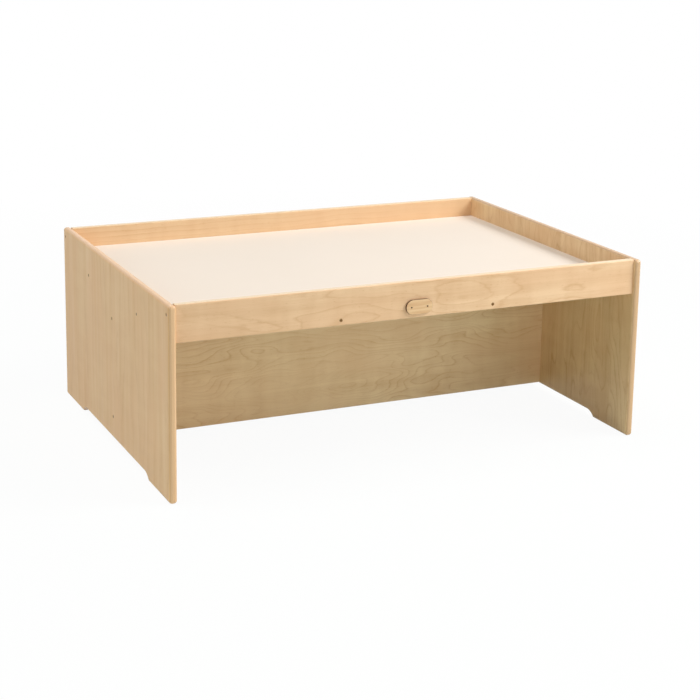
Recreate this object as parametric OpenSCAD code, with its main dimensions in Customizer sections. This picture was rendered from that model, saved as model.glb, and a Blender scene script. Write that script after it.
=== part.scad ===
// Low children's table: a sunk top inside raised edges, two side panels that reach the floor,
// and an upright divider at mid depth that makes a storage bay at the front and one at the rear.
// Millimetres. +X runs along the length, -Y is the front, +Z is up.
// The origin is on the floor, in the middle of the footprint.

/* [Overall size] */
// Length over the outer faces of the side panels
table_length = 1219; // [900:1:1600]
// Depth over the front and rear edges of the side panels
table_depth = 858; // [620:1:1100]
// Height from the floor to the top of the raised edges
table_height = 454; // [340:1:650]

/* [Side panels] */
// Thickness of a side panel
side_thickness = 18; // [15:0.5:25]
// Radius of the rounded corners of a side panel
side_corner_r = 8; // [8:0.5:30]
// Length of the foot left standing at the front and the rear
foot_length = 156; // [60:1:200]
// Height of the arch cut between the feet
arch_height = 14; // [6:0.5:30]
// Radius of the curve that joins a foot to the arch
arch_curve_r = 40; // [32:1:60]

/* [Rails] */
// Thickness of the front and rear rails
rail_thickness = 18; // [15:0.5:25]
// Distance from the side panels' edges back to the rails
rail_setback = 8; // [7:0.5:20]

/* [Top] */
// Depth of the tray, from the raised edge down to the laminate
tray_depth = 51.5; // [30:0.5:62]
// Thickness of the laminate that is played on
laminate_thickness = 0.8; // [0.5:0.1:1.5]
// Thickness of the core board
core_thickness = 16; // [12:0.5:18]
// Thickness of the sheet that backs the core board
backer_thickness = 0.8; // [0.5:0.1:1.5]
// Gap left all round the top, so that it drops in
top_gap = 0.5; // [0.2:0.1:0.9]

/* [Divider] */
// Thickness of the divider
divider_thickness = 18; // [15:0.5:25]
// Space between the divider and the floor
divider_floor_gap = 17.5; // [8:0.5:40]

/* [Cleats] */
// Width of the cleats under the top, measured away from what they are screwed to
cleat_width = 18; // [16:0.5:30]
// Height of the cleats, from the underside of the top to the lower edge of the rails
cleat_height = 18; // [16:0.5:30]
// Space left at the ends of the cleats
cleat_end_gap = 6; // [2:0.5:20]

/* [Edges] */
// Radius on the side panels' edges
panel_edge_r = 7; // [1:0.5:7]
// Radius on the rails' long edges and on the divider's lower edges
rail_edge_r = 3; // [1:0.5:7]
// Radius sanded on the cleats' edges
cleat_edge_r = 1.5; // [0.5:0.5:3]

/* [Panel screws] */
// Shank diameter of the screws that go through the side panels into the boards' ends
panel_screw_d = 5; // [4:0.1:6]
// Head diameter of those screws
panel_screw_head_d = 8.5; // [7:0.1:12]
// Depth that those screws reach into the board behind the side panel
panel_screw_bite = 32; // [20:1:45]
// Distance from the raised edge down to the screws in the rail ends
rail_screw_drop = 22; // [14:0.5:30]
// Distance from the raised edge down to the upper screws in the divider's ends
divider_screw_drop = 137; // [110:1:180]
// Height above the floor of the lower screws in the divider's ends
divider_screw_height = 70; // [40:1:110]

/* [Cleat screws] */
// Shank diameter of the screws that go into or through the cleats
cleat_screw_d = 4.2; // [3:0.1:5]
// Head diameter of those screws
cleat_screw_head_d = 8; // [6:0.1:9]
// Depth that a level screw reaches into the second of the two pieces that it joins
cleat_screw_bite = 13; // [8:0.5:14]
// Depth that the screws up through the cleats reach into the core board
top_screw_bite = 10; // [7:0.5:11]
// Distance from the rails' lower edge up to the cleat screws in the rails
rail_cleat_screw_rise = 12.5; // [5:0.5:13]
// Distance from the rails' lower edge up to the cleat screws in the side panels
side_cleat_screw_rise = 11; // [5:0.5:13]
// Distance from a side cleat's ends to the screws that go up through it
top_screw_end = 90; // [20:1:100]

/* [Dowels] */
// Diameter of the dowels in the rail ends
dowel_d = 8; // [6:0.5:10]
// Depth of the dowel holes in the side panels
dowel_panel_depth = 11; // [8:0.5:12]
// Depth of the dowel holes in the rail ends
dowel_rail_depth = 26; // [18:0.5:35]
// Distance from the rails' lower edge up to the dowels
dowel_rise = 27; // [10:0.5:30]

/* [Plaque] */
// Length of the plain plaque on the front rail
plaque_length = 68; // [45:1:120]
// Height of the plaque
plaque_height = 35; // [20:1:40]
// Thickness of the plaque
plaque_thickness = 5; // [3:0.5:7]
// Distance from the rails' lower edge up to the plaque's centre
plaque_rise = 26.5; // [25:0.5:30]
// Distance between the two pins
pin_spacing = 41; // [20:1:44]
// Diameter of a pin's shank
pin_d = 1.6; // [1.2:0.1:2.5]
// Diameter of a pin's head
pin_head_d = 3.4; // [2.6:0.1:5]
// Length of a pin under its head
pin_length = 15; // [10:0.5:20]

/* [Fits] */
// Radial clearance round a screw or a pin
screw_fit = 0.1; // [0.05:0.05:0.3]
// Depth of a screw's head below the face it is driven into
screw_sink = 0.4; // [0:0.1:1]
// Radial clearance round a dowel
dowel_fit = 0.1; // [0.05:0.05:0.3]
// Space left at each end of a dowel
dowel_end_gap = 0.8; // [0.5:0.1:0.9]

/* [Hidden] */

$fn = 48;
arch_fn = 120;                 // sides of the large arcs in the feet
over = 1;                      // how far a cut runs past the face it starts from
screw_tip = 4;                 // length of a screw's point
screw_tip_d = 1;               // diameter at the end of that point
drive_width = 0.9;             // width of one slot of the cross recess
drive_share = 0.6;             // span of the cross recess, as a share of the head
drive_depth = 1.8;             // depth of the cross recess
pin_head_height = 1;           // height of a pin's domed head
dowel_chamfer = 1;             // chamfer on a dowel's ends
plaque_edge_r = 1;             // radius on the plaque's edges

side_x = table_length / 2;                         // outer face of a side panel
inner_x = side_x - side_thickness;                 // inner face of a side panel
inner_length = 2 * inner_x;
edge_y = table_depth / 2;                          // edge of a side panel
rail_outer_y = edge_y - rail_setback;
rail_inner_y = rail_outer_y - rail_thickness;
rail_mid_y = rail_outer_y - rail_thickness / 2;
surface_z = table_height - tray_depth;             // the laminate's upper face
core_top_z = surface_z - laminate_thickness;
core_bottom_z = core_top_z - core_thickness;
cleat_top_z = core_bottom_z - backer_thickness;
rail_bottom_z = cleat_top_z - cleat_height;        // the rails end flush with the cleats
rail_height = table_height - rail_bottom_z;
divider_y = divider_thickness / 2;                 // face of the divider
cleat_inner_y = rail_inner_y - cleat_width;        // inner face of the front and rear cleats
cleat_inner_x = inner_x - cleat_width;             // inner face of the side cleats
long_cleat_length = inner_length - 2 * cleat_end_gap;
side_cleat_start_y = divider_y + cleat_end_gap;
side_cleat_length = cleat_inner_y - cleat_end_gap - side_cleat_start_y;
side_cleat_mid_y = side_cleat_start_y + side_cleat_length / 2;
divider_cleat_length = 2 * (cleat_inner_x - cleat_end_gap);
divider_cleat_y = divider_y + cleat_width;         // rear face of the divider cleat
sixth_x = inner_length / 6;                        // level screws stand a third of the length apart
third_x = inner_length / 3;                        // the screws that go up stand between them
divider_cleat_screw_z = cleat_top_z - cleat_height / 2;
panel_screw_length = side_thickness + panel_screw_bite - screw_sink;
top_screw_length = cleat_height + backer_thickness + top_screw_bite - screw_sink;

// ---- shapes that several pieces share ----

// Rectangle with rounded corners, centred.
module rounded_section(width, height, r) {
    square([width - 2 * r, height], center = true);
    square([width, height - 2 * r], center = true);
    for (x = [-1, 1], y = [-1, 1])
        translate([x * (width / 2 - r), y * (height / 2 - r)]) circle(r = r);
}

// Half section of a board's edge: reach outwards from the axis, thickness up, the outer edges rounded.
module edge_section(reach, thickness, r) {
    square([reach - r, thickness]);
    translate([0, r]) square([reach, thickness - 2 * r]);
    intersection() {
        square([reach, thickness]);
        for (z = [r, thickness - r])
            translate([reach - r, z]) circle(r = r);
    }
}

// Flat board, its lower left corner at the origin, with rounded corners and rounded edges.
module rounded_board(length, width, thickness, corner_r, r) {
    corners = [
        [length - corner_r, width - corner_r, 0], [corner_r, width - corner_r, 90],
        [corner_r, corner_r, 180], [length - corner_r, corner_r, 270]
    ];
    runs = [width, length, width, length];
    translate([corner_r, corner_r, 0])
        cube([length - 2 * corner_r, width - 2 * corner_r, thickness]);
    for (i = [0:3])
        translate([corners[i][0], corners[i][1], 0]) rotate([0, 0, corners[i][2]]) {
            rotate_extrude(angle = 90, $fn = 96) edge_section(corner_r, thickness, r);
            rotate([90, 0, 0])
                linear_extrude(runs[i] - 2 * corner_r) edge_section(corner_r, thickness, r);
        }
}

// Bar along X, centred on the origin, with its long edges rounded.
module bar_x(length, depth, height, r) {
    rotate([90, 0, 90])
        linear_extrude(length, center = true) rounded_section(depth, height, r);
}

// Flat-headed wood screw: its head's face at the origin, its point towards -Z.
module screw(shank_d, head_d, length) {
    head_height = (head_d - shank_d) / 2;
    slot = drive_share * head_d;
    difference() {
        rotate_extrude()
            polygon([
                [0, 0], [head_d / 2, 0], [shank_d / 2, -head_height],
                [shank_d / 2, screw_tip - length], [screw_tip_d / 2, -length], [0, -length]
            ]);
        for (a = [0, 90])
            rotate([0, 0, a])
                translate([-slot / 2, -drive_width / 2, -drive_depth])
                    cube([slot, drive_width, drive_depth + over]);
    }
}

// The hole for that screw: the same outline, wider by the fit, open past the face.
module screw_hole(shank_d, head_d, length) {
    head_height = (head_d - shank_d) / 2;
    rotate_extrude()
        polygon([
            [0, screw_sink + over], [head_d / 2 + screw_fit, screw_sink + over],
            [head_d / 2 + screw_fit, 0], [shank_d / 2 + screw_fit, -head_height],
            [shank_d / 2 + screw_fit, -length - screw_fit], [0, -length - screw_fit]
        ]);
}

// The three kinds of screw, and the holes that go with them. Each screw goes through one piece
// and bites into the next.
module panel_screw() {
    screw(panel_screw_d, panel_screw_head_d, panel_screw_length);
}

module panel_screw_hole() {
    screw_hole(panel_screw_d, panel_screw_head_d, panel_screw_length);
}

module cleat_screw(first_thickness) {
    screw(cleat_screw_d, cleat_screw_head_d, first_thickness + cleat_screw_bite - screw_sink);
}

module cleat_screw_hole(first_thickness) {
    screw_hole(cleat_screw_d, cleat_screw_head_d, first_thickness + cleat_screw_bite - screw_sink);
}

module top_screw() {
    screw(cleat_screw_d, cleat_screw_head_d, top_screw_length);
}

module top_screw_hole() {
    screw_hole(cleat_screw_d, cleat_screw_head_d, top_screw_length);
}

// Dowel along X, centred on the face between a side panel and a rail end.
module dowel(radius_add, end_add) {
    radius = dowel_d / 2 + radius_add;
    start = -dowel_panel_depth + dowel_end_gap - end_add;
    end = dowel_rail_depth - dowel_end_gap + end_add;
    rotate([0, 90, 0])
        rotate_extrude()
            polygon([
                [0, start], [radius - dowel_chamfer, start], [radius, start + dowel_chamfer],
                [radius, end - dowel_chamfer], [radius - dowel_chamfer, end], [0, end]
            ]);
}

// ---- places, all for the left end or for one side; mirrored copies serve the other ----

// Screws from the left face into the rail ends.
module at_rail_screws() {
    for (s = [-1, 1])
        translate([-side_x + screw_sink, s * rail_mid_y, table_height - rail_screw_drop])
            rotate([0, -90, 0]) children();
}

// Screws from the left face into the divider's end, one high and one low.
module at_divider_screws() {
    for (z = [table_height - divider_screw_drop, divider_screw_height])
        translate([-side_x + screw_sink, 0, z]) rotate([0, -90, 0]) children();
}

// Screws from the left face into the two cleats behind it.
module at_side_cleat_screws() {
    for (s = [-1, 1])
        translate([-side_x + screw_sink, s * side_cleat_mid_y, rail_bottom_z + side_cleat_screw_rise])
            rotate([0, -90, 0]) children();
}

// Screws from the front face of the front rail into its cleat.
module at_front_cleat_screws() {
    for (s = [-1, 1])
        translate([s * sixth_x, -rail_outer_y + screw_sink, rail_bottom_z + rail_cleat_screw_rise])
            rotate([90, 0, 0]) children();
}

// Screws from the rear face of the divider cleat into the divider.
module at_divider_cleat_screws() {
    for (s = [-1, 0, 1])
        translate([s * third_x, divider_cleat_y - screw_sink, divider_cleat_screw_z])
            rotate([-90, 0, 0]) children();
}

// Screws up through the cleats into the core board, with their heads at the cleats' lower faces.
module at_top_screws() {
    long_cleat_y = rail_inner_y - cleat_width / 2;
    side_cleat_x = inner_x - cleat_width / 2;
    divider_cleat_mid_y = divider_y + cleat_width / 2;
    head_z = rail_bottom_z + screw_sink;
    for (x = [-third_x, 0, third_x], s = [-1, 1])
        translate([x, s * long_cleat_y, head_z]) rotate([180, 0, 0]) children();
    for (s = [-1, 1], t = [-1, 1], u = [-1, 1])
        translate([
            s * side_cleat_x, t * (side_cleat_mid_y + u * (side_cleat_length / 2 - top_screw_end)), head_z
        ])
            rotate([180, 0, 0]) children();
    for (s = [-1, 1])
        translate([s * sixth_x, divider_cleat_mid_y, head_z]) rotate([180, 0, 0]) children();
}

// Dowels between the left side panel and the rail ends.
module at_dowels() {
    for (s = [-1, 1])
        translate([-inner_x, s * rail_mid_y, rail_bottom_z + dowel_rise]) children();
}

// Pins through the plaque into the front rail.
module at_pins() {
    for (s = [-1, 1])
        translate([s * pin_spacing / 2, -rail_outer_y - plaque_thickness, rail_bottom_z + plaque_rise])
            rotate([90, 0, 0]) children();
}

// Everything at the left end, and the same at the right end.
module both_ends() {
    children();
    mirror([1, 0, 0]) children();
}

// ---- side panels ----

// The arch between the feet: half of its outline, from mid depth to the foot.
module arch_half() {
    foot_y = edge_y - foot_length;
    centre_z = arch_height - arch_curve_r;
    curve_run = sqrt(arch_curve_r * arch_curve_r - centre_z * centre_z);
    flat_end = foot_y - curve_run;
    translate([0, -over]) square([flat_end, arch_height + over]);
    intersection() {
        translate([flat_end, centre_z]) circle(r = arch_curve_r, $fn = arch_fn);
        translate([flat_end - over, -over]) square([arch_curve_r + over, arch_height + over]);
    }
}

module arch() {
    rotate([90, 0, 90])
        linear_extrude(side_thickness + 2 * over, center = true) {
            arch_half();
            mirror([1, 0]) arch_half();
        }
}

module side_panel() {
    difference() {
        translate([-side_x, -edge_y, 0])
            rotate([90, 0, 90])
                rounded_board(table_depth, table_height, side_thickness, side_corner_r, panel_edge_r);
        translate([-side_x + side_thickness / 2, 0, 0]) arch();
        at_rail_screws() panel_screw_hole();
        at_divider_screws() panel_screw_hole();
        at_side_cleat_screws() cleat_screw_hole(side_thickness);
        at_dowels() dowel(dowel_fit, dowel_end_gap);
    }
}

module left_side_panel() {
    color("burlywood") side_panel();
}

module right_side_panel() {
    color("burlywood") mirror([1, 0, 0]) side_panel();
}

// ---- rails ----

// The front rail; the rear rail is the same board without the plaque's pin holes.
module rail() {
    difference() {
        translate([0, -rail_mid_y, table_height - rail_height / 2])
            bar_x(inner_length, rail_thickness, rail_height, rail_edge_r);
        both_ends() {
            at_rail_screws() panel_screw_hole();
            at_dowels() dowel(dowel_fit, dowel_end_gap);
        }
        at_front_cleat_screws() cleat_screw_hole(rail_thickness);
    }
}

module front_rail() {
    color("navajowhite")
        difference() {
            rail();
            at_pins() pin_hole();
        }
}

module rear_rail() {
    color("navajowhite") mirror([0, 1, 0]) rail();
}

// ---- divider ----

// Section of the divider, standing on the origin, with its lower edges rounded.
module divider_section(height, r) {
    half = divider_thickness / 2;
    translate([-half, r]) square([divider_thickness, height - r]);
    translate([-half + r, 0]) square([divider_thickness - 2 * r, height]);
    for (s = [-1, 1])
        translate([s * (half - r), r]) circle(r = r);
}

module centre_divider() {
    height = cleat_top_z - divider_floor_gap;
    color("tan")
        difference() {
            translate([0, 0, divider_floor_gap])
                rotate([90, 0, 90])
                    linear_extrude(inner_length, center = true) divider_section(height, rail_edge_r);
            both_ends() at_divider_screws() panel_screw_hole();
            at_divider_cleat_screws() cleat_screw_hole(cleat_width);
        }
}

// ---- top ----

// One sheet of the top, at its height.
module top_sheet(bottom_z, thickness) {
    half_x = inner_x - top_gap;
    half_y = rail_inner_y - top_gap;
    translate([-half_x, -half_y, bottom_z]) cube([2 * half_x, 2 * half_y, thickness]);
}

module top_laminate() {
    color("white") top_sheet(core_top_z, laminate_thickness);
}

module top_core() {
    color("wheat")
        difference() {
            top_sheet(core_bottom_z, core_thickness);
            at_top_screws() top_screw_hole();
        }
}

module top_backer() {
    color("gainsboro")
        difference() {
            top_sheet(cleat_top_z, backer_thickness);
            at_top_screws() top_screw_hole();
        }
}

// ---- cleats ----

module long_cleat() {
    difference() {
        translate([0, -rail_inner_y + cleat_width / 2, cleat_top_z - cleat_height / 2])
            bar_x(long_cleat_length, cleat_width, cleat_height, cleat_edge_r);
        at_front_cleat_screws() cleat_screw_hole(rail_thickness);
        at_top_screws() top_screw_hole();
    }
}

module front_cleat() {
    color("burlywood") long_cleat();
}

module rear_cleat() {
    color("burlywood") mirror([0, 1, 0]) long_cleat();
}

// The cleat at the left end in front of the divider.
module side_cleat() {
    difference() {
        translate([-inner_x + cleat_width / 2, -side_cleat_mid_y, cleat_top_z - cleat_height / 2])
            rotate([0, 0, 90]) bar_x(side_cleat_length, cleat_width, cleat_height, cleat_edge_r);
        at_side_cleat_screws() cleat_screw_hole(side_thickness);
        at_top_screws() top_screw_hole();
    }
}

module left_front_cleat() {
    color("burlywood") side_cleat();
}

module left_rear_cleat() {
    color("burlywood") mirror([0, 1, 0]) side_cleat();
}

module right_front_cleat() {
    color("burlywood") mirror([1, 0, 0]) side_cleat();
}

module right_rear_cleat() {
    color("burlywood") rotate([0, 0, 180]) side_cleat();
}

module divider_cleat() {
    color("burlywood")
        difference() {
            translate([0, divider_y + cleat_width / 2, cleat_top_z - cleat_height / 2])
                bar_x(divider_cleat_length, cleat_width, cleat_height, cleat_edge_r);
            at_divider_cleat_screws() cleat_screw_hole(cleat_width);
            at_top_screws() top_screw_hole();
        }
}

// ---- screws and dowels ----

module left_rail_screws() {
    color("silver") at_rail_screws() panel_screw();
}

module right_rail_screws() {
    color("silver") mirror([1, 0, 0]) at_rail_screws() panel_screw();
}

module left_divider_screws() {
    color("silver") at_divider_screws() panel_screw();
}

module right_divider_screws() {
    color("silver") mirror([1, 0, 0]) at_divider_screws() panel_screw();
}

module left_cleat_screws() {
    color("silver") at_side_cleat_screws() cleat_screw(side_thickness);
}

module right_cleat_screws() {
    color("silver") mirror([1, 0, 0]) at_side_cleat_screws() cleat_screw(side_thickness);
}

module front_cleat_screws() {
    color("silver") at_front_cleat_screws() cleat_screw(rail_thickness);
}

module rear_cleat_screws() {
    color("silver") mirror([0, 1, 0]) at_front_cleat_screws() cleat_screw(rail_thickness);
}

module divider_cleat_screws() {
    color("silver") at_divider_cleat_screws() cleat_screw(cleat_width);
}

module top_screws() {
    color("silver") at_top_screws() top_screw();
}

module rail_dowels() {
    color("bisque") both_ends() at_dowels() dowel(0, 0);
}

// ---- plaque ----

// Pin with a domed head: the head's seat at the origin, the point towards -Z.
module pin() {
    rotate_extrude()
        polygon([
            [0, pin_head_height], [pin_head_d / 4, pin_head_height],
            [pin_head_d / 2, pin_head_height / 2], [pin_head_d / 2, 0],
            [pin_d / 2, 0], [pin_d / 2, -pin_length + pin_d], [0, -pin_length]
        ]);
}

module pin_hole() {
    translate([0, 0, -pin_length - screw_fit])
        cylinder(d = pin_d + 2 * screw_fit, h = pin_length + over);
}

module front_plaque() {
    end_x = (plaque_length - plaque_height) / 2;
    color("tan")
        difference() {
            translate([0, -rail_outer_y, rail_bottom_z + plaque_rise])
                rotate([90, 0, 0]) {
                    for (s = [-1, 1])
                        translate([s * end_x, 0, 0])
                            rotate_extrude($fn = 96)
                                edge_section(plaque_height / 2, plaque_thickness, plaque_edge_r);
                    rotate([90, 0, 90])
                        linear_extrude(2 * end_x, center = true)
                            translate([0, plaque_thickness / 2])
                                rounded_section(plaque_height, plaque_thickness, plaque_edge_r);
                }
            at_pins() pin_hole();
        }
}

module plaque_pins() {
    color("dimgray") at_pins() pin();
}

left_side_panel();
right_side_panel();
front_rail();
rear_rail();
centre_divider();
top_laminate();
top_core();
top_backer();
front_cleat();
rear_cleat();
left_front_cleat();
left_rear_cleat();
right_front_cleat();
right_rear_cleat();
divider_cleat();
left_rail_screws();
right_rail_screws();
left_divider_screws();
right_divider_screws();
left_cleat_screws();
right_cleat_screws();
front_cleat_screws();
rear_cleat_screws();
divider_cleat_screws();
top_screws();
rail_dowels();
front_plaque();
plaque_pins();
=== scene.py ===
"""The finish of a low children's table: lacquered birch plywood, a white laminate top and zinc screws.

The table stands in its CAD frame, in metres: +X along its length, -Y the front, +Z up, the origin on
the floor in the middle of its footprint.
"""
import math

import bmesh
import bpy
from mathutils import Matrix, Vector


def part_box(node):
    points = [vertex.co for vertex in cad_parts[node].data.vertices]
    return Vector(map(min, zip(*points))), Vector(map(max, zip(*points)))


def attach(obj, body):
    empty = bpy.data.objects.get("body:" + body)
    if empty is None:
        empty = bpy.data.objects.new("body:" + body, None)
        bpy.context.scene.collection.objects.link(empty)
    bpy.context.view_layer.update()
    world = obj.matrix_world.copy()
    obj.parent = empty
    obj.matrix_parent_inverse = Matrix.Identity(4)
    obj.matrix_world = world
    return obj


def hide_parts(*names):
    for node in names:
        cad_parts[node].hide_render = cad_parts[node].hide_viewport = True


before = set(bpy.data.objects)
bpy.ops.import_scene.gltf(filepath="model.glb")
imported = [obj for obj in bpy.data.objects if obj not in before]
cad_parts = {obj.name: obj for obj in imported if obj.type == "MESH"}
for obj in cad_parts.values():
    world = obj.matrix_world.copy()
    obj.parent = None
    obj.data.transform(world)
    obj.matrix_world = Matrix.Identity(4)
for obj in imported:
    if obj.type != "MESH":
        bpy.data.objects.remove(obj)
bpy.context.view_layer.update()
MM = 0.001


# ---- Side panels ----
# Two boards of 18 mm birch plywood that carry everything. Each is sawn to its outline with rounded
# corners and a shallow arch between its feet, sanded round on every edge, and drilled and
# countersunk for the screws that go through it into the rails, the cleats and the divider.

CORNER_R = 8 * MM
CORNER_STEPS = 10
SANDED_R = 7 * MM
SANDED_STEPS = 8
FOOT_LENGTH = 156 * MM
ARCH_HEIGHT = 14 * MM
ARCH_CURVE_R = 40 * MM
ARCH_STEPS = 20
X, Y, Z = 0, 1, 2
NEAR = 0.01 * MM
OVER = 2 * MM


def start_clean():
    """Leaves edit mode and deselects everything, the CAD nodes included."""
    if bpy.context.object and bpy.context.object.mode != "OBJECT":
        bpy.ops.object.mode_set(mode="OBJECT")
    bpy.ops.object.select_all(action="DESELECT")


def make_active(piece):
    start_clean()
    piece.select_set(True)
    bpy.context.view_layer.objects.active = piece


def place_into_mesh(piece, name):
    """Names a new object and moves its place into its mesh, so that the object sits at the origin."""
    make_active(piece)
    piece.name = name
    piece.data.name = name
    bpy.ops.object.transform_apply(location=True, rotation=True, scale=True)
    return piece


def sawn_board(name, low, high):
    """A square-edged board that fills the box between two corners."""
    start_clean()
    bpy.ops.mesh.primitive_cube_add(size=1, location=(low + high) / 2, scale=high - low)
    return place_into_mesh(bpy.context.object, name)


def edit_edges(piece, wanted):
    """Goes into edit mode with those edges selected whose two ends the test wants."""
    make_active(piece)
    bpy.ops.object.mode_set(mode="EDIT")
    bpy.ops.mesh.select_mode(type="EDGE")
    bpy.ops.mesh.select_all(action="DESELECT")
    shape = bmesh.from_edit_mesh(piece.data)
    for edge in shape.edges:
        if wanted(edge.verts[0].co, edge.verts[1].co):
            edge.select_set(True)
    shape.select_flush_mode()
    bmesh.update_edit_mesh(piece.data)


def round_edges(piece, radius, steps, wanted):
    edit_edges(piece, wanted)
    bpy.ops.mesh.bevel(offset=radius, segments=steps, affect="EDGES", clamp_overlap=False)
    bpy.ops.object.mode_set(mode="OBJECT")


def both_on(a, b, axis, value):
    return abs(a[axis] - value) < NEAR and abs(b[axis] - value) < NEAR


def along(a, b, axis):
    """Whether the edge between two points runs along an axis."""
    return all(abs(a[k] - b[k]) < NEAR for k in (X, Y, Z) if k != axis)


def cut_away(piece, cutter):
    """Takes the cutter's shape out of the piece, and removes the cutter."""
    make_active(piece)
    bpy.ops.object.modifier_add(type="BOOLEAN")
    cut = piece.modifiers[-1]
    cut.operation = "DIFFERENCE"
    cut.solver = "EXACT"
    cut.object = cutter
    bpy.ops.object.modifier_apply(modifier=cut.name)
    bpy.data.objects.remove(cutter)


def smooth_board(piece):
    """Shades the rounded edges smoothly while the broad faces stay flat."""
    make_active(piece)
    bpy.ops.object.shade_smooth_by_angle(angle=math.radians(40))
    bpy.ops.object.modifier_add(type="WEIGHTED_NORMAL")
    piece.modifiers[-1].keep_sharp = True
    bpy.ops.object.modifier_apply(modifier=piece.modifiers[-1].name)


def solids_of(node):
    """The corner points of each separate solid in a CAD node."""
    shape = bmesh.new()
    shape.from_mesh(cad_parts[node].data)
    bmesh.ops.remove_doubles(shape, verts=shape.verts, dist=NEAR)
    met, solids = set(), []
    for start in shape.verts:
        if start in met:
            continue
        met.add(start)
        growing, points = [start], []
        while growing:
            corner = growing.pop()
            points.append(corner.co.copy())
            for edge in corner.link_edges:
                other = edge.other_vert(corner)
                if other not in met:
                    met.add(other)
                    growing.append(other)
        solids.append(points)
    shape.free()
    return solids


def turned_to(out):
    """The turn that takes +Z to a direction."""
    return Vector((0, 0, 1)).rotation_difference(Vector(out)).to_matrix().to_4x4()


def screw_facts(points):
    """A CAD screw's sizes, and the place of its head's middle with +Z turned out of the wood."""
    low = Vector([min(p[k] for p in points) for k in (X, Y, Z)])
    high = Vector([max(p[k] for p in points) for k in (X, Y, Z)])
    axis = max((X, Y, Z), key=lambda k: high[k] - low[k])
    middle = (low + high) / 2
    level = Vector([k != axis for k in (X, Y, Z)])
    spoke = {tuple(p): ((p - middle) * level).length for p in points}
    head = max(points, key=lambda p: spoke[tuple(p)])
    out = Vector((0, 0, 0))
    out[axis] = 1 if head[axis] > middle[axis] else -1
    place = middle.copy()
    place[axis] = high[axis] if out[axis] > 0 else low[axis]
    shank_r = max(spoke[tuple(p)] for p in points if (p - middle).dot(out) < 0)
    shank_end = min((p - place).dot(out) for p in points if spoke[tuple(p)] > shank_r - NEAR)
    return {
        "place": Matrix.Translation(place) @ turned_to(out),
        "head_r": spoke[tuple(head)],
        "shank_r": shank_r,
        "shank_end": shank_end,
        "length": high[axis] - low[axis],
    }


def round_bar(name, radius, low_z, high_z, sides=32):
    """A cylinder on the Z axis between two heights."""
    start_clean()
    bpy.ops.mesh.primitive_cylinder_add(
        vertices=sides, radius=radius, depth=high_z - low_z, location=(0, 0, (low_z + high_z) / 2)
    )
    return place_into_mesh(bpy.context.object, name)


def draw_out(piece, level, rise, scale):
    """Extrudes the face at a level along Z, and scales its far end about the Z axis."""
    edit_edges(piece, lambda a, b: both_on(a, b, Z, level))
    bpy.ops.mesh.extrude_region_move(TRANSFORM_OT_translate={"value": (0, 0, rise)})
    bpy.ops.transform.resize(value=(scale, scale, 1), center_override=(0, 0, 0))
    bpy.ops.object.mode_set(mode="OBJECT")


HOLE_FIT = 0.1 * MM
DOWEL_GAP = 0.9 * MM


def hole_cutter(pin):
    """What a screw's or dowel's hole takes out of the wood, countersunk if the pin has a head."""
    neck = pin["shank_r"] - pin["head_r"]
    shank_r = pin["shank_r"] + HOLE_FIT
    if neck < -NEAR:
        cutter = round_bar("hole_cutter", shank_r, -pin["length"] - HOLE_FIT, neck)
        draw_out(cutter, neck, -neck, (pin["head_r"] + HOLE_FIT) / shank_r)
        draw_out(cutter, 0, OVER, 1)
    else:
        cutter = round_bar("hole_cutter", shank_r, -pin["length"] - DOWEL_GAP, DOWEL_GAP)
    cutter.data.transform(pin["place"])
    return cutter


def reaches(points, low, high):
    """Whether a solid reaches into the box between two corners."""
    return all(
        max(p[k] for p in points) >= low[k] and min(p[k] for p in points) <= high[k] for k in (X, Y, Z)
    )


def drill(piece, low, high, *nodes):
    """Cuts holes into the board between two corners, for the CAD screws and dowels that reach it."""
    for node in nodes:
        for points in solids_of(node):
            if reaches(points, low, high):
                cut_away(piece, hole_cutter(screw_facts(points)))


def arch_cutter(low, high):
    """What is sawn out between the feet: a bar with its upper edges rounded to the arch's curve."""
    drop = ARCH_CURVE_R - ARCH_HEIGHT
    run = math.sqrt(ARCH_CURVE_R**2 - drop**2)
    half = high.y - FOOT_LENGTH - run + ARCH_CURVE_R
    cutter = sawn_board(
        "arch_cutter",
        Vector((low.x - OVER, -half, -ARCH_CURVE_R)),
        Vector((high.x + OVER, half, ARCH_HEIGHT)),
    )
    round_edges(
        cutter, ARCH_CURVE_R, ARCH_STEPS, lambda a, b: along(a, b, X) and both_on(a, b, Z, ARCH_HEIGHT)
    )
    return cutter


def side_panel(node, side):
    low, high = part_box(node)
    panel = sawn_board(node + "_ply", low, high)
    round_edges(panel, CORNER_R, CORNER_STEPS, lambda a, b: along(a, b, X))
    cut_away(panel, arch_cutter(low, high))
    round_edges(
        panel, SANDED_R, SANDED_STEPS, lambda a, b: both_on(a, b, X, low.x) or both_on(a, b, X, high.x)
    )
    drill(
        panel, low, high,
        side + "_rail_screws", side + "_divider_screws", side + "_cleat_screws", "rail_dowels",
    )
    smooth_board(panel)
    return panel


def linear(hex_colour):
    """An sRGB hex colour as linear RGBA."""
    channels = [int(hex_colour[i : i + 2], 16) / 255 for i in (1, 3, 5)]
    return tuple(c / 12.92 if c <= 0.04045 else ((c + 0.055) / 1.055) ** 2.4 for c in channels) + (1,)


def add_node(tree, kind, inputs, out=0, **settings):
    """Adds a shader node with its settings, values and links, and returns one of its outputs."""
    made = tree.nodes.new("ShaderNode" + kind)
    for name, value in settings.items():
        setattr(made, name, value)
    for socket, value in inputs.items():
        if isinstance(value, bpy.types.NodeSocket):
            tree.links.new(value, made.inputs[socket])
        else:
            made.inputs[socket].default_value = value
    return made.outputs[out] if made.outputs else made


def new_material(name):
    """An empty material, its node tree and its Principled shader."""
    made = bpy.data.materials.new(name)
    made.use_nodes = True
    made.node_tree.nodes.clear()
    surface = add_node(made.node_tree, "BsdfPrincipled", {})
    add_node(made.node_tree, "OutputMaterial", {"Surface": surface})
    return made, made.node_tree, surface.node


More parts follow.
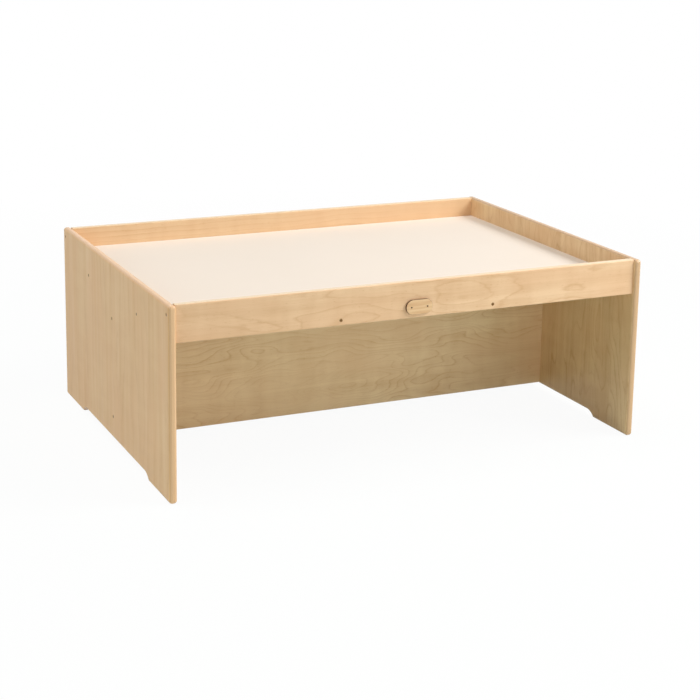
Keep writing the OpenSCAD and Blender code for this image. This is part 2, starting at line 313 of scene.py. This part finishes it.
# The numbers of a Map Range node's sockets and of a colour Mix node's, whose names aren't unique.
FROM_LOW, FROM_HIGH, TO_LOW, TO_HIGH = 1, 2, 3, 4
MIX_BY, COLOUR_A, COLOUR_B = 0, 6, 7
COLOUR_MIX = {"out": 2, "data_type": "RGBA"}

# Birch plywood under clear satin lacquer. Its faces are rotary-cut veneer: the knife follows the
# growth rings, so they show as faint brown contour lines and islands drawn out along the grain, over
# soft bands, a cross-grain curl, fine fibres and a few pith flecks. Its edges show the plies, light
# where they run lengthwise and darker where they show end grain, with thin brown glue lines. They
# are sanded finer than the faces, so that the lacquer shines more there.
PLIES = 13
GLUE_LINE = "#93653C"
VENEER_LAYERS = {
    # each layer's size in millimetres along the grain, across it and through it, and its detail;
    # the fibres are drawn wider than their 0.1 mm, so that they show
    "rings": ((420, 105, 200), 2.0),
    "sway": ((190, 60, 90), 1.0),
    "feather": ((26, 6, 9), 2.0),
    "fade": ((260, 90, 90), 1.0),
    "bands": ((600, 22, 22), 2.0),
    "curl": ((38, 110, 110), 1.0),
    "blush": ((320, 140, 140), 1.0),
    "fibres": ((70, 1.2, 1.2), 2.0),
    "flecks": ((9, 1.6, 1.6), 0.0),
    "grit": ((2.2, 2.2, 0.5), 1.0),
}
# Places through one ring and how dark it is there: pale early wood, then the dark line of late wood.
RING_TONES = ((0.0, 0.5), (0.08, 0.05), (0.2, 0.0), (0.7, 0.15), (0.86, 0.4), (0.95, 1.0), (1.0, 0.5))
SWAY_SHARE = 0.15
FEATHER_SHARE = 0.35
FACE_COAT = 0.13
EDGE_COAT = 0.35
EDGE_SMOOTHING = 0.08
BOARD_END_FACING = 0.7


def veneer_noise(tree, grain, seed):
    """A noise for each veneer layer, drawn out along the grain."""
    noise = {}
    for number, (layer, (size, detail)) in enumerate(VENEER_LAYERS.items()):
        shift = (seed + 5 * number, 2 * seed, seed)
        stretch = [1 / (s * MM) for s in size]
        spread = add_node(tree, "Mapping", {"Vector": grain, "Location": shift, "Scale": stretch})
        noise[layer] = add_node(tree, "TexNoise", {"Vector": spread, "Scale": 1.0, "Detail": detail})
    return noise


def ring_lines(tree, noise, across, seed, rings, lines):
    """The growth rings' contour lines, fainter in places."""
    climb = add_node(tree, "Math", {0: across, 1: lines, 2: seed}, operation="MULTIPLY_ADD")
    for layer, share in (("rings", rings), ("sway", SWAY_SHARE * rings), ("feather", FEATHER_SHARE)):
        climb = add_node(tree, "Math", {0: noise[layer], 1: share, 2: climb}, operation="MULTIPLY_ADD")
    ring = add_node(tree, "Math", {0: climb}, operation="FRACT")
    line = add_node(tree, "ValToRGB", {0: ring})
    stops = line.node.color_ramp.elements
    for place, _ in RING_TONES[1:-1]:
        stops.new(place)
    for stop, (_, tone) in zip(stops, RING_TONES):
        stop.color = (tone, tone, tone, 1)
    fade = add_node(tree, "MapRange", {0: noise["fade"], FROM_LOW: 0.35, FROM_HIGH: 0.6, TO_LOW: 0.3})
    return add_node(tree, "Math", {0: line, 1: fade}, operation="MULTIPLY")


def veneer_colour(tree, noise, line, flecks, contrast, light, dark, blush):
    """The colour of a board's faces."""
    bands = add_node(tree, "MapRange", {0: noise["bands"], FROM_LOW: 0.3, FROM_HIGH: 0.7})
    curl = add_node(tree, "MapRange", {0: noise["curl"], FROM_LOW: 0.35, FROM_HIGH: 0.65})
    fibres = add_node(tree, "MapRange", {0: noise["fibres"], FROM_LOW: 0.3, FROM_HIGH: 0.7})
    shade = 0.5 - 0.5 * contrast
    for layer, share in ((line, 0.4), (bands, 0.3), (curl, 0.16), (fibres, 0.14), (flecks, 0.3)):
        shade = add_node(tree, "Math", {0: layer, 1: share * contrast, 2: shade}, operation="MULTIPLY_ADD")
    face = {MIX_BY: shade, COLOUR_A: linear(light), COLOUR_B: linear(dark)}
    face = add_node(tree, "Mix", face, **COLOUR_MIX)
    blushing = {0: noise["blush"], FROM_LOW: 0.4, FROM_HIGH: 0.65, TO_HIGH: 0.5}
    blushing = add_node(tree, "MapRange", blushing)
    return add_node(tree, "Mix", {MIX_BY: blushing, COLOUR_A: face, COLOUR_B: linear(blush)}, **COLOUR_MIX)


def edge_colour(tree, noise, lengthwise, depth, ply, seed, edge):
    """The colour of a board's edges; lengthwise is the number of the axis that the grain follows."""
    facing = add_node(tree, "TexCoord", {}, out="Normal")
    facing = add_node(tree, "SeparateXYZ", {0: facing}, out=lengthwise)
    facing = add_node(tree, "Math", {0: facing}, operation="ABSOLUTE")
    board_end = add_node(tree, "Math", {0: facing, 1: BOARD_END_FACING}, operation="GREATER_THAN")
    end_grain = add_node(tree, "Math", {0: ply, 1: board_end}, operation="ADD")
    end_grain = add_node(tree, "Math", {0: end_grain, 1: 1.0}, operation="PINGPONG")
    ply_tone = add_node(tree, "Math", {0: ply, 1: seed}, operation="ADD")
    ply_tone = add_node(tree, "TexWhiteNoise", {"W": ply_tone}, noise_dimensions="1D")
    shade = 0.0
    for layer, share in ((end_grain, 0.45), (ply_tone, 0.25), (noise["grit"], 0.3)):
        shade = add_node(tree, "Math", {0: layer, 1: share, 2: shade}, operation="MULTIPLY_ADD")
    colour = {MIX_BY: shade, COLOUR_A: linear(edge[0]), COLOUR_B: linear(edge[1])}
    colour = add_node(tree, "Mix", colour, **COLOUR_MIX)
    glue = add_node(tree, "Math", {0: depth, 1: 0.5}, operation="PINGPONG")
    glue = {0: glue, FROM_LOW: 0.03, FROM_HIGH: 0.09, TO_LOW: 0.3, TO_HIGH: 0.0}
    glue = add_node(tree, "MapRange", glue)
    return add_node(tree, "Mix", {MIX_BY: glue, COLOUR_A: colour, COLOUR_B: linear(GLUE_LINE)}, **COLOUR_MIX)


# The default edge colours are very pale: in part the plies' own pale tone, in part a painted highlight for
# the light on the rails' rounded top edges.
def birch_plywood(
    name, axes, low, high, seed, light, dark, blush, rings, lines, contrast=1.0, edge=("#FCE9C8", "#E8C293")
):
    """One board's plywood. axes are its axes along the grain, across it and through it; rings is how
    many rings the contours climb through, and lines how many more run straight, in a metre."""
    made, tree, shader = new_material(name)
    lengthwise, across, through = ("XYZ".index(axis) for axis in axes)
    place = add_node(tree, "TexCoord", {}, out="Object")
    parts = add_node(tree, "SeparateXYZ", {0: place}).node.outputs
    grain = add_node(tree, "CombineXYZ", {0: parts[lengthwise], 1: parts[across], 2: parts[through]})
    noise = veneer_noise(tree, grain, seed)
    line = ring_lines(tree, noise, parts[across], seed, rings, lines)
    flecks = add_node(tree, "MapRange", {0: noise["flecks"], FROM_LOW: 0.72, FROM_HIGH: 0.8})
    face = veneer_colour(tree, noise, line, flecks, contrast, light, dark, blush)

    per_ply = PLIES / (high[through] - low[through])
    depth = {0: parts[through], 1: per_ply, 2: -low[through] * per_ply}
    depth = add_node(tree, "Math", depth, operation="MULTIPLY_ADD")
    ply = add_node(tree, "Math", {0: depth}, operation="FLOOR")
    middle_ply = (PLIES - 1) / 2
    inner = add_node(tree, "Math", {0: ply, 1: middle_ply, 2: middle_ply - 0.5}, operation="COMPARE")
    edge = edge_colour(tree, noise, lengthwise, depth, ply, seed, edge)
    colour = add_node(tree, "Mix", {MIX_BY: inner, COLOUR_A: face, COLOUR_B: edge}, **COLOUR_MIX)
    tree.links.new(colour, shader.inputs["Base Color"])

    rough = {0: noise["bands"], FROM_LOW: 0.3, FROM_HIGH: 0.7, TO_LOW: 0.42, TO_HIGH: 0.52}
    rough = add_node(tree, "MapRange", rough)
    rough = add_node(tree, "Math", {0: inner, 1: -EDGE_SMOOTHING, 2: rough}, operation="MULTIPLY_ADD")
    tree.links.new(rough, shader.inputs["Roughness"])
    coat = {0: inner, 1: EDGE_COAT - FACE_COAT, 2: FACE_COAT}
    coat = add_node(tree, "Math", coat, operation="MULTIPLY_ADD")
    tree.links.new(coat, shader.inputs["Coat Weight"])
    shader.inputs["Coat Roughness"].default_value = 0.2
    shader.inputs["IOR"].default_value = 1.42
    relief = 0.0
    for layer, share in ((noise["fibres"], 1.0), (line, -0.4), (flecks, -1.0), (noise["grit"], 0.3)):
        relief = add_node(tree, "Math", {0: layer, 1: share, 2: relief}, operation="MULTIPLY_ADD")
    bump = add_node(tree, "Bump", {"Height": relief, "Strength": 0.3, "Distance": 0.1 * MM})
    tree.links.new(bump, shader.inputs["Normal"])
    return made


def finish_piece(piece, material, slot, *nodes):
    """Gives a new piece its material and its body, and hides the CAD nodes that it stands for; slot is not
    used.
    """
    piece.data.materials.clear()
    piece.data.materials.append(material)
    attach(piece, "root")
    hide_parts(*nodes)


# The left panel's colours are lighter and yellower than the right's, and its edges paler: in part the
# boards' own differing tone, in part painted light for the lit outer face and top edge. The right panel's
# darker colours and edges are in part painted shade for its shaded inner face and front edge.
PANEL_FIGURE = {
    "left": {
        "light": "#F2C994", "dark": "#D9A56D", "blush": "#EBB883", "edge": ("#F7D0A6", "#DFAC79"),
        "rings": 3.0, "lines": 22, "contrast": 0.75, "seed": 3.1,
    },
    "right": {
        "light": "#E8C99C", "dark": "#CA9F6F", "blush": "#E2B989", "edge": ("#E0BB92", "#C69B70"),
        "rings": 14.0, "lines": 24, "contrast": 1.5, "seed": 8.4,
    },
}
for side, figure in PANEL_FIGURE.items():
    node = side + "_side_panel"
    panel_low, panel_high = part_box(node)
    panel_ply = birch_plywood(
        "lacquered_birch_ply_" + side, ("Z", "Y", "X"), panel_low, panel_high, **figure
    )
    finish_piece(side_panel(node, side), panel_ply, "side_plywood", node)


# ---- Rails ----
# Two strips of the same plywood, sanded round along their edges and butted between the side
# panels. They stand above the top as its raised edges, and reach down over the cleats behind them.

RAIL_SANDED_R = 3 * MM
RAIL_FIGURE = {
    "front": {
        "light": "#F2CBA3", "dark": "#D6A678", "blush": "#EAB98F",
        "rings": 10.0, "lines": 10, "contrast": 1.3, "seed": 5.3,
    },
    "rear": {
        "light": "#F1D0A6", "dark": "#D8AC7D", "blush": "#EABE92",
        "rings": 3.0, "lines": 70, "contrast": 1.0, "seed": 2.2,
    },
}
for side, figure in RAIL_FIGURE.items():
    node = side + "_rail"
    rail_low, rail_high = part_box(node)
    rail = sawn_board(node + "_ply", rail_low, rail_high)
    round_edges(rail, RAIL_SANDED_R, SANDED_STEPS, lambda a, b: along(a, b, X))
    drill(
        rail, rail_low, rail_high,
        side + "_cleat_screws", "left_rail_screws", "right_rail_screws", "rail_dowels", "plaque_pins",
    )
    smooth_board(rail)
    rail_ply = birch_plywood("lacquered_birch_ply_" + node, ("X", "Z", "Y"), rail_low, rail_high, **figure)
    finish_piece(rail, rail_ply, "rail_plywood", node)


# ---- Divider ----
# One upright board across the whole length at mid depth, screwed through the side panels. Its
# lower edge is sanded round and stays clear of the floor.

divider_low, divider_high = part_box("centre_divider")
divider = sawn_board("centre_divider_ply", divider_low, divider_high)
round_edges(
    divider, RAIL_SANDED_R, SANDED_STEPS, lambda a, b: along(a, b, X) and both_on(a, b, Z, divider_low.z)
)
drill(
    divider, divider_low, divider_high,
    "left_divider_screws", "right_divider_screws", "divider_cleat_screws",
)
smooth_board(divider)
# The divider's colours are paler and a little greener than the rails': painted light that makes up for the
# light the top keeps off it, and a painted shade tone for the olive cast of that shade.
divider_ply = birch_plywood(
    "lacquered_birch_ply_divider", ("X", "Z", "Y"), divider_low, divider_high,
    light="#F6D9AF", dark="#D5A977", blush="#EAC297", rings=24.0, lines=14, contrast=1.25, seed=11.7,
)
finish_piece(divider, divider_ply, "divider_plywood", "centre_divider")


# ---- Top ----
# A core board faced with warm white high-pressure laminate and backed with a plain sheet. The
# laminate has the fine suede texture that such sheets are pressed with, which dulls its shine.


def pressed_laminate(name, colour, cast):
    """Melamine laminate: an even colour with a faint cloudy cast, and a dull suede surface. The suede
    is drawn coarser than its real 0.2 mm, so that it shows."""
    made, tree, shader = new_material(name)
    place = add_node(tree, "TexCoord", {}, out="Object")
    cloud = add_node(tree, "TexNoise", {"Vector": place, "Scale": 1 / (250 * MM), "Detail": 3.0})
    colour = {MIX_BY: cloud, COLOUR_A: linear(colour), COLOUR_B: linear(cast)}
    colour = add_node(tree, "Mix", colour, **COLOUR_MIX)
    tree.links.new(colour, shader.inputs["Base Color"])
    suede = add_node(tree, "TexNoise", {"Vector": place, "Scale": 1 / (1.2 * MM), "Detail": 2.0})
    rough = add_node(tree, "MapRange", {0: suede, FROM_LOW: 0.3, FROM_HIGH: 0.7, TO_LOW: 0.6, TO_HIGH: 0.7})
    tree.links.new(rough, shader.inputs["Roughness"])
    bump = add_node(tree, "Bump", {"Height": suede, "Strength": 0.25, "Distance": 0.04 * MM})
    tree.links.new(bump, shader.inputs["Normal"])
    shader.inputs["IOR"].default_value = 1.3
    return made


def dress_node(node, material):
    """Puts a material on a CAD node that is shown as it is."""
    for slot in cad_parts[node].material_slots:
        slot.material = material


TRIMMED_R = 0.3 * MM
laminate_low, laminate_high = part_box("top_laminate")
sheet = sawn_board("top_laminate_sheet", laminate_low, laminate_high)
round_edges(sheet, TRIMMED_R, 2, lambda a, b: both_on(a, b, Z, laminate_high.z))
smooth_board(sheet)
white_laminate = pressed_laminate("white_suede_laminate", "#F2E5D8", "#EFE1D3")
finish_piece(sheet, white_laminate, "white_laminate", "top_laminate")

core_low, core_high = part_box("top_core")
core_ply = birch_plywood(
    "birch_ply_core", ("X", "Y", "Z"), core_low, core_high,
    light="#E6C79B", dark="#C79D6C", blush="#D9B488", rings=6.0, lines=5, seed=6.6,
)
dress_node("top_core", core_ply)
dress_node("top_backer", pressed_laminate("plain_backing_laminate", "#DBD8CC", "#D0CDBF"))


# ---- Cleats and dowels ----
# Square strips of planed solid birch under the top, along the rails, the side panels and the
# divider, and turned beech dowels in the rail ends. Solid wood, so straight grain and no plies.

STREAK_SIZE = (400, 5, 5)


def planed_wood(name, axes, seed, light, dark):
    """Planed solid wood: fine straight streaks and a low sheen. axes are its axes along the grain,
    across it and through it, and a streak's size is in millimetres along each."""
    made, tree, shader = new_material(name)
    place = add_node(tree, "TexCoord", {}, out="Object")
    parts = add_node(tree, "SeparateXYZ", {0: place}).node.outputs
    grain = add_node(tree, "CombineXYZ", {k: parts["XYZ".index(axis)] for k, axis in enumerate(axes)})
    stretch = [1 / (s * MM) for s in STREAK_SIZE]
    spread = add_node(tree, "Mapping", {"Vector": grain, "Location": (seed, seed, seed), "Scale": stretch})
    streak = add_node(tree, "TexNoise", {"Vector": spread, "Scale": 1.0, "Detail": 4.0})
    shade = add_node(tree, "MapRange", {0: streak, FROM_LOW: 0.3, FROM_HIGH: 0.7})
    colour = {MIX_BY: shade, COLOUR_A: linear(light), COLOUR_B: linear(dark)}
    colour = add_node(tree, "Mix", colour, **COLOUR_MIX)
    tree.links.new(colour, shader.inputs["Base Color"])
    rough = {0: streak, FROM_LOW: 0.3, FROM_HIGH: 0.7, TO_LOW: 0.44, TO_HIGH: 0.56}
    rough = add_node(tree, "MapRange", rough)
    tree.links.new(rough, shader.inputs["Roughness"])
    bump = add_node(tree, "Bump", {"Height": streak, "Strength": 0.3, "Distance": 0.1 * MM})
    tree.links.new(bump, shader.inputs["Normal"])
    shader.inputs["IOR"].default_value = 1.5
    return made


long_strip = planed_wood("planed_birch_long_strip", ("X", "Y", "Z"), 1.7, "#EBCDA1", "#CBA373")
cross_strip = planed_wood("planed_birch_cross_strip", ("Y", "X", "Z"), 4.9, "#E8CA9E", "#C79F6F")
for node in ("front_cleat", "rear_cleat", "divider_cleat"):
    dress_node(node, long_strip)
for node in ("left_front_cleat", "left_rear_cleat", "right_front_cleat", "right_rear_cleat"):
    dress_node(node, cross_strip)
dress_node("rail_dowels", planed_wood("turned_beech", ("X", "Y", "Z"), 7.3, "#E2BE93", "#C89C6C"))


# ---- Screws ----
# Zinc-plated countersunk wood screws, their heads set just below the wood, each with the tapered
# cross recess that the driver turns it by. They hold the panels, the rails, the cleats and the top.

RECESS_SPAN = 4.6 * MM
RECESS_WIDTH = 1.2 * MM
RECESS_DEPTH = 2.2 * MM
RECESS_TAPER = 0.45
HEAD_RIM = 0.2 * MM
TIP_TAPER = 0.2


def wood_screw(screw):
    """A screw of a CAD screw's sizes, made on the Z axis with the top of its head at the origin."""
    neck = screw["shank_r"] - screw["head_r"]
    made = round_bar("screw", screw["shank_r"], screw["shank_end"], neck)
    draw_out(made, neck, -neck, screw["head_r"] / screw["shank_r"])
    round_edges(made, HEAD_RIM, 2, lambda a, b: both_on(a, b, Z, 0))
    # Rounding leaves the head's top a hair off 0, where the recess cutters would shave slivers off it.
    for corner in made.data.vertices:
        if abs(corner.co.z) < NEAR:
            corner.co.z = 0
    draw_out(made, screw["shank_end"], -screw["length"] - screw["shank_end"], TIP_TAPER)
    for turn in (0, math.pi / 2):
        low = Vector((-RECESS_SPAN / 2, -RECESS_WIDTH / 2, 0))
        high = Vector((RECESS_SPAN / 2, RECESS_WIDTH / 2, OVER))
        recess = sawn_board("recess_cutter", low, high)
        draw_out(recess, 0, -RECESS_DEPTH, RECESS_TAPER)
        recess.data.transform(Matrix.Rotation(turn, 4, "Z"))
        cut_away(made, recess)
    smooth_board(made)
    return made


def copy_to_places(pattern, places, name):
    """Copies a pattern to its places, each copy with its own mesh, and joins them into one piece."""
    copies = []
    for place in places:
        made = pattern.copy()
        made.data = pattern.data.copy()
        made.data.transform(place)
        bpy.context.collection.objects.link(made)
        copies.append(made)
    bpy.data.objects.remove(pattern)
    make_active(copies[0])
    for made in copies:
        made.select_set(True)
    bpy.ops.object.join()
    joined = bpy.context.object
    joined.name = joined.data.name = name
    return joined


def zinc_plate(name, bright, dull):
    """Yellow-passivated zinc plate, dulled in blotches: brownish metal with a soft shine."""
    made, tree, shader = new_material(name)
    place = add_node(tree, "TexCoord", {}, out="Object")
    bloom = add_node(tree, "TexNoise", {"Vector": place, "Scale": 1 / (2 * MM), "Detail": 4.0})
    colour = {MIX_BY: bloom, COLOUR_A: linear(bright), COLOUR_B: linear(dull)}
    colour = add_node(tree, "Mix", colour, **COLOUR_MIX)
    tree.links.new(colour, shader.inputs["Base Color"])
    rough = {0: bloom, FROM_LOW: 0.3, FROM_HIGH: 0.7, TO_LOW: 0.25, TO_HIGH: 0.42}
    rough = add_node(tree, "MapRange", rough)
    tree.links.new(rough, shader.inputs["Roughness"])
    bump = add_node(tree, "Bump", {"Height": bloom, "Strength": 0.2, "Distance": 0.05 * MM})
    tree.links.new(bump, shader.inputs["Normal"])
    shader.inputs["Metallic"].default_value = 1.0
    return made


zinc = zinc_plate("zinc_plated_steel", "#B08A5C", "#7A5E3E")
for node in sorted(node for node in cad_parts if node.endswith("_screws")):
    screws = [screw_facts(points) for points in solids_of(node)]
    places = [screw["place"] for screw in screws]
    group = copy_to_places(wood_screw(screws[0]), places, node + "_steel")
    finish_piece(group, zinc, "screw_steel", node)


# ---- Plaque ----
# A plain bare plate of birch plywood on the front rail, cut by laser, which browns its edges, and
# held by two bronzed pins with domed heads.

plaque_low, plaque_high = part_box("front_plaque")
plaque_height = plaque_high.z - plaque_low.z
plaque_thickness = plaque_high.y - plaque_low.y
PLAQUE_SIDES = 64
PLAQUE_EDGE_R = 0.8 * MM
plaque = round_bar("front_plaque_ply", plaque_height / 2, 0, plaque_thickness, PLAQUE_SIDES)
plaque.data.transform(Matrix.Rotation(math.pi / PLAQUE_SIDES, 4, "Z"))
straight = (plaque_high.x - plaque_low.x - plaque_height) / 2
for corner in plaque.data.vertices:
    corner.co.x += straight if corner.co.x > 0 else -straight
round_edges(plaque, PLAQUE_EDGE_R, 3, lambda a, b: both_on(a, b, Z, plaque_thickness))
plaque.data.transform(
    Matrix.Translation((0, plaque_high.y, (plaque_low.z + plaque_high.z) / 2)) @ turned_to((0, -1, 0))
)
drill(plaque, plaque_low, plaque_high, "plaque_pins")
smooth_board(plaque)


FIGURE_SIZE = (90, 9, 7)
PLAIN_FACING = -0.995
BURNT_FACING = -0.8


def laser_cut_birch(name, seed, light, dark, burnt):
    """Thin birch with its grain along X: a pale face with a soft figure, its size in millimetres along
    X, Y and Z, and an edge that the laser's heat has left brown and rough."""
    made, tree, shader = new_material(name)
    place = add_node(tree, "TexCoord", {}, out="Object")
    stretch = [1 / (s * MM) for s in FIGURE_SIZE]
    spread = add_node(tree, "Mapping", {"Vector": place, "Location": (seed, seed, seed), "Scale": stretch})
    figure = add_node(tree, "TexNoise", {"Vector": spread, "Scale": 1.0, "Detail": 4.0})
    figure = add_node(tree, "MapRange", {0: figure, FROM_LOW: 0.3, FROM_HIGH: 0.7})
    face = {MIX_BY: figure, COLOUR_A: linear(light), COLOUR_B: linear(dark)}
    face = add_node(tree, "Mix", face, **COLOUR_MIX)
    facing = add_node(tree, "TexCoord", {}, out="Normal")
    facing = add_node(tree, "SeparateXYZ", {0: facing}, out="Y")
    scorch = {0: facing, FROM_LOW: PLAIN_FACING, FROM_HIGH: BURNT_FACING, TO_HIGH: 0.9}
    scorch = add_node(tree, "MapRange", scorch)
    colour = {MIX_BY: scorch, COLOUR_A: face, COLOUR_B: linear(burnt)}
    colour = add_node(tree, "Mix", colour, **COLOUR_MIX)
    tree.links.new(colour, shader.inputs["Base Color"])
    rough = add_node(tree, "MapRange", {0: scorch, TO_LOW: 0.4, TO_HIGH: 0.62})
    tree.links.new(rough, shader.inputs["Roughness"])
    bump = add_node(tree, "Bump", {"Height": figure, "Strength": 0.3, "Distance": 0.1 * MM})
    tree.links.new(bump, shader.inputs["Normal"])
    shader.inputs["IOR"].default_value = 1.5
    return made


plaque_ply = laser_cut_birch("laser_cut_birch", 9.1, light="#EFC99B", dark="#D9A878", burnt="#5E3C20")
finish_piece(plaque, plaque_ply, "plaque_wood", "front_plaque")


def bronzed_steel(name, colour, worn):
    """Steel with a baked bronze finish, rubbed in small spots: dark brown metal with a dull shine."""
    made, tree, shader = new_material(name)
    place = add_node(tree, "TexCoord", {}, out="Object")
    wear = add_node(tree, "TexNoise", {"Vector": place, "Scale": 1 / MM, "Detail": 3.0})
    colour = {MIX_BY: wear, COLOUR_A: linear(colour), COLOUR_B: linear(worn)}
    colour = add_node(tree, "Mix", colour, **COLOUR_MIX)
    tree.links.new(colour, shader.inputs["Base Color"])
    rough = add_node(tree, "MapRange", {0: wear, TO_LOW: 0.5, TO_HIGH: 0.7})
    tree.links.new(rough, shader.inputs["Roughness"])
    shader.inputs["Metallic"].default_value = 1.0
    return made


PIN_HEAD_HEIGHT = 0.8 * MM
PIN_HEAD_FLARE = 0.02 * MM
PIN_DOME_R = 0.75 * MM


def domed_pin(pin):
    """A pin of a CAD pin's sizes, made on the Z axis with the top of its head at the origin."""
    made = round_bar("pin", pin["shank_r"], pin["shank_end"], -PIN_HEAD_HEIGHT)
    draw_out(made, -PIN_HEAD_HEIGHT, PIN_HEAD_FLARE, pin["head_r"] / pin["shank_r"])
    draw_out(made, PIN_HEAD_FLARE - PIN_HEAD_HEIGHT, PIN_HEAD_HEIGHT - PIN_HEAD_FLARE, 1)
    round_edges(made, PIN_DOME_R, 4, lambda a, b: both_on(a, b, Z, 0))
    smooth_board(made)
    return made


pins = [screw_facts(points) for points in solids_of("plaque_pins")]
pair = copy_to_places(domed_pin(pins[0]), [pin["place"] for pin in pins], "plaque_pins_steel")
finish_piece(pair, bronzed_steel("bronzed_steel", "#482A10", "#281608"), "pin_steel", "plaque_pins")


# ---- Floor, lamps and camera ----
# White paper that runs out into a white background, and five square soft lamps: a strong one high
# on the right, a weaker one low at the front right, a weak low one left of the front, one on the
# left from slightly behind, and one almost overhead.

CAMERA_AZIMUTH, CAMERA_ELEVATION, CAMERA_ROLL = (math.radians(a) for a in (-24.948, 12.426, 0.962))
CAMERA_DISTANCE = 4.1644
CAMERA_TARGET = Vector((0.0188, 0, 0.4833))
CAMERA_LENS = 84.49
CAMERA_SHIFT_X = -0.0009
CAMERA_SHIFT_Y = -0.17
SENSOR_WIDTH = 36


def from_table(azimuth, elevation):
    """The direction from the table to where a camera or lamp stands, azimuth 0 in front."""
    flat = math.cos(elevation)
    return Vector((math.sin(azimuth) * flat, -math.cos(azimuth) * flat, math.sin(elevation)))


def stand_at(thing, place, target, roll=0.0):
    """Puts a lamp or camera at a place, looking at a target, rolled about its line of sight."""
    look = (target - place).to_track_quat("-Z", "Y").to_matrix().to_4x4()
    thing.matrix_world = Matrix.Translation(place) @ look @ Matrix.Rotation(roll, 4, "Z")


start_clean()
bpy.ops.object.camera_add()
camera = bpy.context.object
camera.name = "photo_camera"
camera.data.lens = CAMERA_LENS
camera.data.sensor_width = SENSOR_WIDTH
camera.data.shift_x = CAMERA_SHIFT_X
camera.data.shift_y = CAMERA_SHIFT_Y
camera.data.clip_end = 50
stand_at(
    camera,
    CAMERA_TARGET + CAMERA_DISTANCE * from_table(CAMERA_AZIMUTH, CAMERA_ELEVATION),
    CAMERA_TARGET,
    CAMERA_ROLL,
)
bpy.context.scene.camera = camera

PAPER_REACH = 6.0
PAPER_DROP = 0.3 * MM
FADE_START = 0.5
FADE_END = 3.0
GLOW_AT_TABLE = 0.945


def sees_white(tree):
    """1 for the rays of the camera and of glossy reflections, which see the plain white background."""
    ray = add_node(tree, "LightPath", {}).node.outputs
    return add_node(tree, "Math", {0: ray["Is Camera Ray"], 1: ray["Is Glossy Ray"]}, operation="MAXIMUM")


start_clean()
bpy.ops.mesh.primitive_plane_add(size=2 * PAPER_REACH, location=(0, 0, -PAPER_DROP))
floor = bpy.context.object
floor.name = "studio_floor"
floor_paper = bpy.data.materials.new("white_paper")
floor_paper.use_nodes = True
paper = floor_paper.node_tree
paper.nodes.clear()
matt = add_node(paper, "BsdfDiffuse", {"Color": linear("#EBF5EC")})
glow = add_node(paper, "Emission", {"Color": (1, 1, 1, 1), "Strength": 1.0})
place = add_node(paper, "TexCoord", {}, out="Object")
reach = add_node(paper, "VectorMath", {0: place}, out="Value", operation="LENGTH")
fade = {0: reach, FROM_LOW: FADE_START, FROM_HIGH: FADE_END, TO_LOW: GLOW_AT_TABLE}
fade = add_node(paper, "MapRange", fade)
# Near the table a little of the lit paper shows through the white, and keeps the table's shadow.
shown = add_node(paper, "MixShader", {0: fade, 1: matt, 2: glow})
surface = add_node(paper, "MixShader", {0: sees_white(paper), 1: matt, 2: shown})
add_node(paper, "OutputMaterial", {"Surface": surface})
floor.data.materials.append(floor_paper)


LAMP_DISTANCE = 4.3
LAMP_SIZE = 2.0
LAMP_AIM = Vector((0, 0, 0.3))


def soft_lamp(name, azimuth, elevation, watts):
    """A square lamp that shines on the table from a direction in degrees."""
    start_clean()
    bpy.ops.object.light_add(type="AREA")
    made = bpy.context.object
    made.name = name
    made.data.shape = "SQUARE"
    made.data.size = LAMP_SIZE
    made.data.energy = watts
    towards = from_table(math.radians(azimuth), math.radians(elevation))
    stand_at(made, LAMP_AIM + LAMP_DISTANCE * towards, LAMP_AIM)


soft_lamp("key_lamp", 60, 40, 131)
soft_lamp("low_key", 38, 12, 28)
soft_lamp("front_fill", -12, 12, 18)
soft_lamp("left_fill", -102, 26, 32)
soft_lamp("top_lamp", -90, 74, 74)

world = bpy.data.worlds.new("studio")
bpy.context.scene.world = world
world.use_nodes = True
sky = world.node_tree
sky.nodes.clear()
soft = add_node(sky, "Background", {"Color": linear("#F2FFF8"), "Strength": 0.14})
white = add_node(sky, "Background", {"Color": (1, 1, 1, 1), "Strength": 1.0})
backdrop = add_node(sky, "MixShader", {0: sees_white(sky), 1: soft, 2: white})
add_node(sky, "OutputWorld", {"Surface": backdrop})

bpy.context.scene.view_settings.view_transform = "Standard"
